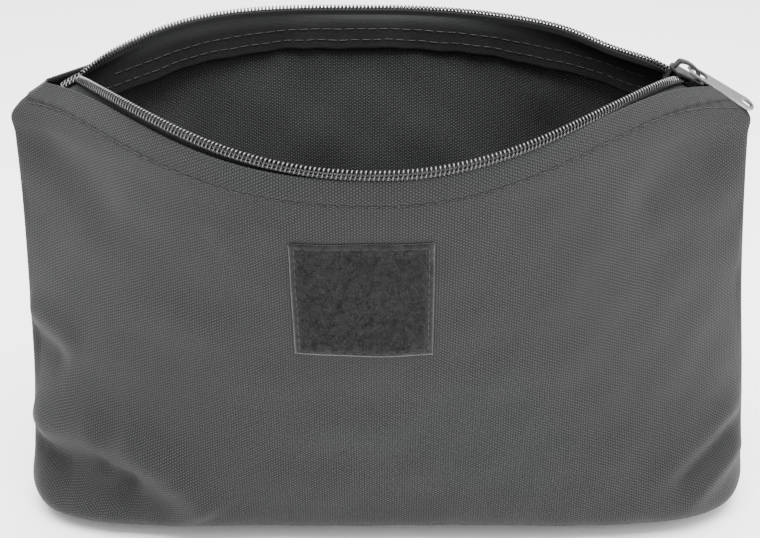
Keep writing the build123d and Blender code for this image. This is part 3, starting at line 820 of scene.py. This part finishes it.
def coil_cord(side, name):
    """The filler cord inside a coil: twisted strands."""
    centre, heads, face, reach = chain_line(side)
    turn = reach / STRAND_TURN * 2 * math.pi
    parts = []
    for strand in range(STRANDS):
        angle = turn + strand * 2 * math.pi / STRANDS
        line = centre + heads * (STRAND_OFFSET * np.cos(angle))[:, None]
        line = line + face * (STRAND_OFFSET * np.sin(angle))[:, None]
        parts.append(tube_parts(line, STRAND_RADIUS, THREAD_SIDES, heads))
    return make_object(name, *join_parts(parts))


def coil_thread(side, name):
    """Two rows of small stitches over the coil's legs."""
    centre, heads, face, _ = chain_line(side)
    line = centre + face * (COIL_THICK / 2 + COIL_WIRE * 0.2)
    rows = []
    for place in LEG_ROWS:
        row = stitches("row", line + heads * place, face, pitch=COIL_PITCH,
                       share=LEG_STITCH_SHARE, radius=LEG_THREAD, lift=LEG_THREAD)
        rows.append(row)
    return merge(name, rows)


def merge(name, objects):
    """Several mesh objects as one piece."""
    parts = []
    for obj in objects:
        mesh = obj.data
        points = np.array([v.co for v in mesh.vertices]) / MM
        parts.append((points, [list(p.vertices) for p in mesh.polygons]))
        bpy.data.objects.remove(obj)
    return make_object(name, *join_parts(parts))


TAPE_DROP = 13.5
TAPE_THICK = 0.36
TAPE_EDGE, TAPE_FOOT = 0.5, 2.6         # tape under the heads, and from there to the coil's foot
TAPE_INSET, TAPE_BEND_BELOW, TAPE_HANG_START = 2.4, 0.8, 0.12
TAPE_COLUMNS, TAPE_SEAM_POINTS = 420, 500
TAPE_ROWS = (5, 8, 12)                  # under the coil, over the bend and down the wall
TAPE_SEAM_END, HEM_SEAM_END = 104.0, 108.0
TAPE_SEAM_SHARE, HEM_SEAM_SHARE = 0.27, 0.66
TAPE_SEAM_GAP = 0.1


def tape_lines(side, x):
    """Control lines of the tape: its edge under the heads, coil foot, bend and lower edge."""
    centre = coil_centre(side, x)
    heads, face = coil_frame(side, x)
    edge = centre + heads * TAPE_EDGE - face * (COIL_THICK / 2 + COIL_WIRE + TAPE_THICK / 2)
    foot = edge - heads * TAPE_FOOT
    u = x / MOUTH_HALF
    top = wall(side, u, np.ones_like(u))
    bend = top.copy()
    bend[:, 0] = x
    bend[:, 1] -= side * TAPE_INSET
    bend[:, 2] = np.minimum(top[:, 2] - TAPE_BEND_BELOW, edge[:, 2])
    low = bend.copy()
    low[:, 2] -= TAPE_DROP
    rise = np.clip((low[:, 2] - LEVEL_ROWS_END) / (top[:, 2] - LEVEL_ROWS_END), 0, 1)
    level = share_at_height(LEVEL_ROWS_END)
    s_low = level + rise * (1 - level)
    values = shell_values(s_low)
    half = np.where(x < 0, values[:, 1], values[:, 2])
    p = np.where(x < 0, values[:, 4], values[:, 6])
    q = np.where(x < 0, values[:, 5], values[:, 7])
    inner = values[:, 3] * outline(np.abs(x) / half, p, q) - TAPE_INSET
    low[:, 1] = side * np.minimum(np.abs(bend[:, 1]), inner)
    # the lower edge hangs in small uneven waves
    low[:, 1] += -side * (0.35 + 0.3 * np.sin(x / 5.3 + side) + 0.2 * np.sin(x / 2.9))
    low[:, 2] += 0.35 * np.sin(x / 6.1 + 1.0) + 0.2 * np.sin(x / 2.3)
    return [edge, foot, bend, low]


def hanging_part(side, x, t):
    """The tape where it hangs inside the wall, from its bend (t = 0) to its lower edge (t = 1)."""
    _, _, bend, low = tape_lines(side, x)
    start = bend + (low - bend) * TAPE_HANG_START
    return start * (1 - t) + low * t


def tape(side, name):
    """One zipper tape: flat under its coil, curved over the hem, and down inside the wall."""
    x = CHAIN_END_X * end_crowded(TAPE_COLUMNS)
    edge, foot, bend, _ = tape_lines(side, x)
    under_coil, over_bend, down_wall = TAPE_ROWS
    rows = []
    for t in np.linspace(0, 1, under_coil):
        rows.append(edge * (1 - t) + foot * t)
    mid = foot + (bend - foot) * 0.9
    after = hanging_part(side, x, 0.0)
    for t in np.linspace(0, 1, over_bend)[1:]:
        rows.append(foot * (1 - t) ** 2 + mid * 2 * t * (1 - t) + after * t * t)
    for t in np.linspace(0, 1, down_wall)[1:]:
        rows.append(hanging_part(side, x, t))
    return sheet_object(name, np.stack(rows), TAPE_THICK, offset=0.0)


def tape_row(side, t, reach):
    """One row of stitches on the inner face of the hanging tape."""
    x = np.linspace(-reach, reach, TAPE_SEAM_POINTS)
    line = hanging_part(side, x, t)
    down = hanging_part(side, x, min(t + 0.1, 1.0)) - hanging_part(side, x, t - 0.1)
    normal = unit(np.cross(np.gradient(line, axis=0), down)) * side
    normal = normal * np.sign(-side * normal[:, 1:2])
    return stitches("row", line + normal * (TAPE_THICK / 2 + TAPE_SEAM_GAP), normal)


# ---------------------------------------------------------------- seams

WALL_LENGTH = 190.0         # rough length of the wall, which steps a search up or across it
HEM_STITCH_SHARE, HEM_STITCH_LIFT = 0.975, 0.12


def s_below(side, u, below):
    """Share up the wall that lies a distance below the hem's fold."""
    s = np.full_like(u, 0.95)
    for _ in range(12):
        gap = below_fold(side, u, s) - below
        s = np.clip(s + gap / WALL_LENGTH, 0.5, 1.0)
    return s


def hem_stitching(side, name):
    """The topstitch: needle thread on the cloth's outer face, bobbin thread on the tape inside."""
    u = np.linspace(-HEM_STITCH_SHARE, HEM_STITCH_SHARE, TAPE_SEAM_POINTS)
    s = s_below(side, u, HEM_WIDTH)
    outer = stitches("row", cloth_face(side, u, s, HEM_STITCH_LIFT), wall_normals(side, u, s))
    return merge(name, [outer, tape_row(side, HEM_SEAM_SHARE, HEM_SEAM_END)])


# ---------------------------------------------------------------- loop patch

PATCH_SIDE = 50.8
PATCH_X, PATCH_Z = -6.2, 130.5
PATCH_THICK = 1.2
PATCH_TURN = math.radians(0.6)
PATCH_COLUMNS = 70
PATCH_CLOTH = 0.45                      # thickness of the patch's woven base
PATCH_EDGE_LIFT, PATCH_EDGE_WIDTH = 0.55, 1.6
PATCH_SEAM_IN, PATCH_SEAM_WIDTH, PATCH_SEAM_DIP = 2.0, 0.5, 0.45
PATCH_HALF_WIDTH = 143.0                # half width of the bag at the patch
PATCH_STITCH_IN, PATCH_STITCH_PITCH = 1.9, 3.2
LOOPS, LOOP_MARGIN, LOOP_WIRE = 3400, 2.6, 0.075
LOOP_WIDTHS, LOOP_HEIGHTS = (0.25, 0.55), (0.45, 0.95)
LOOP_SINK, PATCH_STITCH_SINK = 0.1, 0.35


def patch_points(a, b, out):
    """Points over the front panel, and normals, for places (a, b) from the patch's middle."""
    x = PATCH_X + a * math.cos(PATCH_TURN) - b * math.sin(PATCH_TURN)
    z = PATCH_Z + b * math.cos(PATCH_TURN) + a * math.sin(PATCH_TURN)
    s = np.full_like(x, 0.6)
    u = x / PATCH_HALF_WIDTH
    for _ in range(14):
        here = wall(FRONT, u, s)
        s = np.clip(s + (z - here[..., 2]) / WALL_LENGTH, 0, 1)
        u = np.clip(u + (x - here[..., 0]) / PATCH_HALF_WIDTH, -1, 1)
    return cloth_face(FRONT, u, s, out), wall_normals(FRONT, u, s)


def loop_patch(name):
    """The patch's base, thick in its middle and pressed down along its stitching."""
    half = PATCH_SIDE / 2
    side = np.linspace(-half, half, PATCH_COLUMNS)
    a, b = np.meshgrid(side, side)
    edge = np.minimum(half - np.abs(a), half - np.abs(b))
    body = smooth(edge / PATCH_EDGE_WIDTH)
    groove = np.exp(-((edge - PATCH_SEAM_IN) / PATCH_SEAM_WIDTH) ** 2)
    out = PATCH_EDGE_LIFT + (PATCH_THICK - PATCH_EDGE_LIFT) * body - PATCH_SEAM_DIP * groove
    grid, _ = patch_points(a, b, out)
    return sheet_object(name, grid, PATCH_CLOTH)


def loop_pile(name):
    """Some thousands of small nylon loops standing on the patch."""
    rng = np.random.default_rng(5)
    half = PATCH_SIDE / 2 - LOOP_MARGIN
    a, b = rng.uniform(-half, half, (2, LOOPS))
    feet, normal = patch_points(a, b, np.full(LOOPS, PATCH_THICK - LOOP_SINK))
    parts = []
    t = np.linspace(0, math.pi, 6)
    for foot, out in zip(feet, normal):
        turn = rng.uniform(0, 2 * math.pi)
        along = unit(np.cross(out, [math.cos(turn), 0.3, math.sin(turn)]))
        lean = along * rng.uniform(-0.3, 0.3) + unit(np.cross(out, along)) * rng.uniform(-0.4, 0.4)
        width = rng.uniform(*LOOP_WIDTHS)
        height = rng.uniform(*LOOP_HEIGHTS)
        line = (foot + np.outer(np.cos(t) * width, along)
                + np.outer(np.sin(t) * height, out) + np.outer(np.sin(t), lean))
        points, faces = tube_parts(line, LOOP_WIRE, 3, out)
        parts.append((points, faces[:-2]))
    return make_object(name, *join_parts(parts))


def patch_stitching(name):
    """Four rows of stitches just inside the patch's edges."""
    half = PATCH_SIDE / 2 - PATCH_STITCH_IN
    rows = []
    t = np.linspace(-half, half, 120)
    for a, b in ((t, np.full_like(t, half)), (t, np.full_like(t, -half)),
                 (np.full_like(t, half), t), (np.full_like(t, -half), t)):
        line, normal = patch_points(a, b, np.full_like(t, PATCH_THICK - PATCH_STITCH_SINK))
        rows.append(stitches("row", line, normal, pitch=PATCH_STITCH_PITCH, radius=0.2, lift=0.16))
    return merge(name, rows)


# ---------------------------------------------------------------- inner bindings

BINDING_HALF = 0.85
BINDING_FROM, BINDING_TO = 4.5, 10.0
BINDING_LOW_Z, BINDING_HIGH_Z = 16.0, 162.0
BINDING_WAVE, BINDING_WAVE_STEPS = 0.35, 7.0
SIDE_POINTS, BASE_POINTS = 160, 200
SIDE_STITCH_IN = 2.6                    # stitches from the binding's open side
BASE_BINDING_HALF, BASE_BINDING_Z, BASE_BINDING_WIDTH = 135.0, 1.3, 7.2
BASE_STITCH_HALF, BASE_STITCH_Z = 132.0, 4.4


def binding_section(width):
    """Closed outline of binding folded over an edge, from its open side to its fold."""
    turn = np.linspace(-math.pi / 2, math.pi / 2, 7)
    middle = width - BINDING_HALF
    arc = [(middle + BINDING_HALF * math.cos(t), BINDING_HALF * math.sin(t)) for t in turn]
    return np.array([(0.0, -BINDING_HALF)] + arc + [(0.0, BINDING_HALF)])


def swept_band(name, line, inward, width):
    """A folded band along a line: inward points from its open side to its fold."""
    section = binding_section(width)
    wave = BINDING_WAVE * np.sin(np.arange(len(line)) / BINDING_WAVE_STEPS)
    across = np.array([0.0, 1.0, 0.0])
    rows = []
    for point, way, shift in zip(line, inward, wave):
        sideways = section[:, 1] + shift * 0.4
        rows.append(point + np.outer(section[:, 0], way) + np.outer(sideways, across))
    grid = np.stack(rows)
    faces = grid_faces(len(line), len(section), closed=True).tolist()
    count = len(section)
    faces.append(list(range(count))[::-1])
    faces.append([(len(line) - 1) * count + k for k in range(count)])
    return make_object(name, grid.reshape(-1, 3), faces, flat_coordinates(grid))


def side_binding(side_x, name):
    """The binding of one side seam, and the line of its open side."""
    s = np.linspace(share_at_height(BINDING_LOW_Z), share_at_height(BINDING_HIGH_Z), SIDE_POINTS)
    values = shell_values(s)
    half = values[:, 1] if side_x < 0 else values[:, 2]
    line = np.stack([side_x * (half - BINDING_FROM), np.zeros_like(s), values[:, 0]], -1)
    inward = np.tile([-side_x, 0.0, 0.0], (len(s), 1))
    return swept_band(name, line, inward, BINDING_TO - BINDING_FROM), line


def level_line(half, z):
    """A straight line along the middle of the base."""
    x = np.linspace(-half, half, BASE_POINTS)
    return np.stack([x, np.zeros_like(x), np.full_like(x, z)], -1)


def bottom_binding(name):
    """The binding of the base's seam, which stands up from the base."""
    line = level_line(BASE_BINDING_HALF, BASE_BINDING_Z)
    inward = np.tile([0.0, 0.0, 1.0], (len(line), 1))
    return swept_band(name, line, inward, BASE_BINDING_WIDTH)


def binding_stitches(name, line):
    """A row of stitches on each face of a binding."""
    rows = []
    for face in (-1, 1):
        normal = np.tile([0.0, float(face), 0.0], (len(line), 1))
        rows.append(stitches("row", line + normal * BINDING_HALF, normal))
    return merge(name, rows)


# ---------------------------------------------------------------- putting it together


def fit(piece, material, slot, *nodes):
    """Gives a soft piece its material and body."""
    piece.data.materials.clear()
    piece.data.materials.append(material)
    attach(piece, "bag")
    if nodes:
        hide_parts(*nodes)
    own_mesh(piece)
    return piece


def build():
    """Every piece of the bag, and the metal of its slider and tab."""
    oxford = oxford_cloth()
    tape_cloth = zipper_tape_cloth()
    thread = thread_material()
    binding = binding_material()
    nylon = nylon_material()
    pile = loop_pile_material()
    for side, word in ((FRONT, "front"), (BACK, "back")):
        panel = fit(cloth_panel(side, word + "_cloth"), oxford, "oxford_cloth", word + "_panel")
        strip = fit(tape(side, word + "_tape"), tape_cloth, "zipper_tape", word + "_zipper_tape")
        fit(coil(side, word + "_nylon_coil"), nylon, "nylon_coil", word + "_coil")
        fit(coil_cord(side, word + "_filler_cord"), thread, "filler_cord", word + "_coil_cord")
        fit(coil_thread(side, word + "_chain_stitches"), thread, "thread", word + "_coil_thread")
        fit(hem_stitching(side, word + "_hem_stitches"), thread, "thread", word + "_topstitch")
        seam = tape_row(side, TAPE_SEAM_SHARE, TAPE_SEAM_END)
        seam.name = word + "_tape_stitches"
        fit(seam, thread, "thread", word + "_tape_seam")
    patch = fit(loop_patch("patch_base"), pile, "loop_pile", "loop_patch")
    fit(loop_pile("patch_loops"), pile, "loop_pile")
    fit(patch_stitching("patch_stitches"), thread, "thread", "patch_stitching")
    for side_x, word in ((-1, "left"), (1, "right")):
        band, line = side_binding(side_x, word + "_band")
        fit(band, binding, "binding_tape", word + "_seam_binding")
        row = line + np.array([-side_x * SIDE_STITCH_IN, 0.0, 0.0])
        fit(binding_stitches(word + "_seam_stitches", row), thread, "thread", word + "_side_seam")
    fit(bottom_binding("bottom_band"), binding, "binding_tape", "bottom_seam_binding")
    row = level_line(BASE_STITCH_HALF, BASE_STITCH_Z)
    fit(binding_stitches("bottom_seam_stitches", row), thread, "thread", "bottom_seam")
    slider = metal_material("slider_metal", 0.012, 0.045, 0.26)
    tab = metal_material("tab_metal", 0.20, 0.34, 0.28)
    for node, material in (("slider_body", slider), ("slider_crown", slider), ("pull_tab", tab)):
        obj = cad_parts[node]
        for material_slot in obj.material_slots:
            material_slot.material = material


make_camera()
make_studio()
build()
